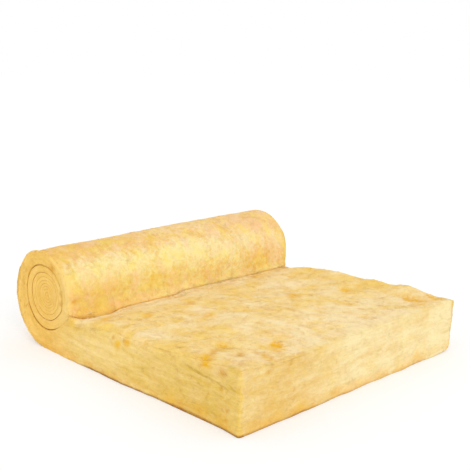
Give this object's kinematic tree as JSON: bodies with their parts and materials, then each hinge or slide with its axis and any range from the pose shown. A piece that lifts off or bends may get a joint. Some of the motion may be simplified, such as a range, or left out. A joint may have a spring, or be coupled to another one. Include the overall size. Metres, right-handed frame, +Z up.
{
  "type": "insulation roll",
  "caption": "Glass wool insulation roll, partly unrolled: a blanket wound on itself at one end, swelling outwards and lying flat at the other.",
  "frame": {"origin": "centre of the bounding box, on the floor", "axes": "+Z up; +Y along the roll, towards its looser end; +X from the roll to the free end of the blanket"},
  "size_m": [1.2612, 1.2, 0.4157],
  "materials": {
    "glass_wool": "matt, fibrous"
  },
  "bodies": {
    "root": {"glass_wool_blanket": "glass_wool"}
  },
  "joints": []
}
